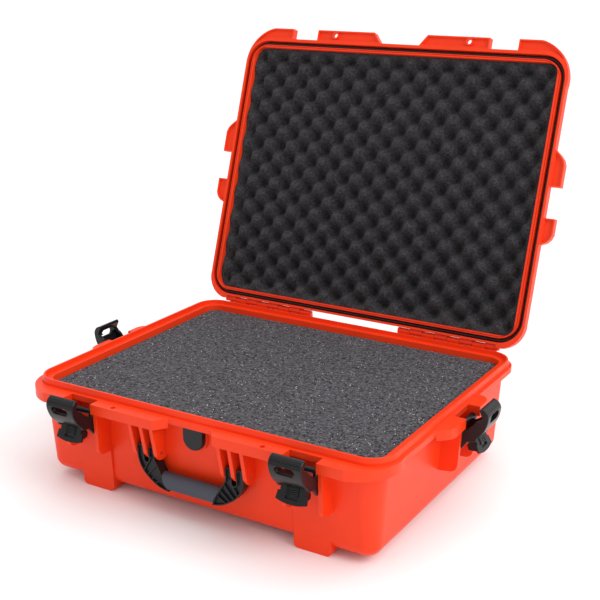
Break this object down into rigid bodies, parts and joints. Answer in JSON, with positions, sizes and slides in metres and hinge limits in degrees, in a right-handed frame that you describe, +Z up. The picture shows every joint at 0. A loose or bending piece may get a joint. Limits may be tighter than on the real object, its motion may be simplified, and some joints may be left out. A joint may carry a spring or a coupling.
{
  "type": "hard equipment case",
  "caption": "Moulded hard case, lid open on a rear hinge, with foam set, lid seal, claw latches, folding carrying handle and pressure valve.",
  "frame": {"origin": "on the floor, under the middle of the open case's bounding box", "axes": "+X to the case's right, +Y to the hinge and the open lid, +Z up"},
  "size_m": [0.701, 0.7194, 0.6334],
  "materials": {
    "shell": "moulded, fine satin texture",
    "seal": "smooth",
    "foam": "open-cell foam",
    "latch": "semi-gloss",
    "lever": "satin",
    "grip": "soft, ribbed",
    "pin": "ground",
    "membrane": "thin woven film"
  },
  "bodies": {
    "root": {"base_shell": "shell", "base_foam_top": "foam", "base_foam_middle": "foam", "base_foam_bottom": "foam", "hinge_pin_left": "pin", "hinge_pin_right": "pin", "handle_pin_left": "pin", "handle_pin_right": "pin", "valve_body": "latch", "valve_cap": "latch", "valve_o_ring": "seal", "valve_membrane": "membrane", "base_pin_front_left": "pin", "base_pin_front_right": "pin", "base_pin_side_left": "pin", "base_pin_side_right": "pin"},
    "lid": {"lid_shell": "shell", "lid_gasket": "seal", "lid_foam": "foam"},
    "handle": {"handle_frame": "lever", "handle_grip": "grip"},
    "claw_front_left": {"claw_front_left": "latch", "link_pin_front_left": "pin"},
    "lever_front_left": {"release_lever_front_left": "lever"},
    "slide_front_left": {"slide_lock_front_left": "latch"},
    "claw_front_right": {"claw_front_right": "latch", "link_pin_front_right": "pin"},
    "lever_front_right": {"release_lever_front_right": "lever"},
    "slide_front_right": {"slide_lock_front_right": "latch"},
    "claw_side_left": {"claw_side_left": "latch", "link_pin_side_left": "pin"},
    "lever_side_left": {"release_lever_side_left": "lever"},
    "slide_side_left": {"slide_lock_side_left": "latch"},
    "claw_side_right": {"claw_side_right": "latch", "link_pin_side_right": "pin"},
    "lever_side_right": {"release_lever_side_right": "lever"},
    "slide_side_right": {"slide_lock_side_right": "latch"}
  },
  "joints": [
    {"name": "lid_hinge", "type": "hinge", "parent": "root", "child": "lid", "pos_m": [0, 0.1683, 0.1634], "axis": [-1, 0, 0], "range_deg": [-108.66, 0]},
    {"name": "handle_hinge", "type": "hinge", "parent": "root", "child": "handle", "pos_m": [0, -0.3023, 0.094], "axis": [-1, 0, 0], "range_deg": [0, 85]},
    {"name": "claw_front_left_hinge", "type": "hinge", "parent": "root", "child": "claw_front_left", "pos_m": [-0.186, -0.3123, 0.112], "axis": [1, 0, 0], "range_deg": [-45.3, 0]},
    {"name": "lever_front_left_hinge", "type": "hinge", "parent": "claw_front_left", "child": "lever_front_left", "pos_m": [-0.186, -0.33631, 0.12235], "axis": [-1, 0, 0], "range_deg": [-60, 0]},
    {"name": "slide_front_left_travel", "type": "slide", "parent": "lever_front_left", "child": "slide_front_left", "axis": [0, -0.3633, -0.9317], "range_m": [0, 0.004], "stiffness_N_per_m": 150, "springref_m": -0.002},
    {"name": "claw_front_right_hinge", "type": "hinge", "parent": "root", "child": "claw_front_right", "pos_m": [0.186, -0.3123, 0.112], "axis": [1, 0, 0], "range_deg": [-45.3, 0]},
    {"name": "lever_front_right_hinge", "type": "hinge", "parent": "claw_front_right", "child": "lever_front_right", "pos_m": [0.186, -0.33631, 0.12235], "axis": [-1, 0, 0], "range_deg": [-60, 0]},
    {"name": "slide_front_right_travel", "type": "slide", "parent": "lever_front_right", "child": "slide_front_right", "axis": [0, -0.3633, -0.9317], "range_m": [0, 0.004], "stiffness_N_per_m": 150, "springref_m": -0.002},
    {"name": "claw_side_left_hinge", "type": "hinge", "parent": "root", "child": "claw_side_left", "pos_m": [-0.305, -0.0713, 0.112], "axis": [0, -1, 0], "range_deg": [-39.3, 0]},
    {"name": "lever_side_left_hinge", "type": "hinge", "parent": "claw_side_left", "child": "lever_side_left", "pos_m": [-0.3278, -0.0713, 0.1248], "axis": [0, 1, 0], "range_deg": [-60, 0]},
    {"name": "slide_side_left_travel", "type": "slide", "parent": "lever_side_left", "child": "slide_side_left", "axis": [-0.4586, 0, -0.8886], "range_m": [0, 0.004], "stiffness_N_per_m": 150, "springref_m": -0.002},
    {"name": "claw_side_right_hinge", "type": "hinge", "parent": "root", "child": "claw_side_right", "pos_m": [0.305, -0.0713, 0.112], "axis": [0, 1, 0], "range_deg": [-39.3, 0]},
    {"name": "lever_side_right_hinge", "type": "hinge", "parent": "claw_side_right", "child": "lever_side_right", "pos_m": [0.3278, -0.0713, 0.1248], "axis": [0, -1, 0], "range_deg": [-60, 0]},
    {"name": "slide_side_right_travel", "type": "slide", "parent": "lever_side_right", "child": "slide_side_right", "axis": [0.4586, 0, -0.8886], "range_m": [0, 0.004], "stiffness_N_per_m": 150, "springref_m": -0.002}
  ]
}
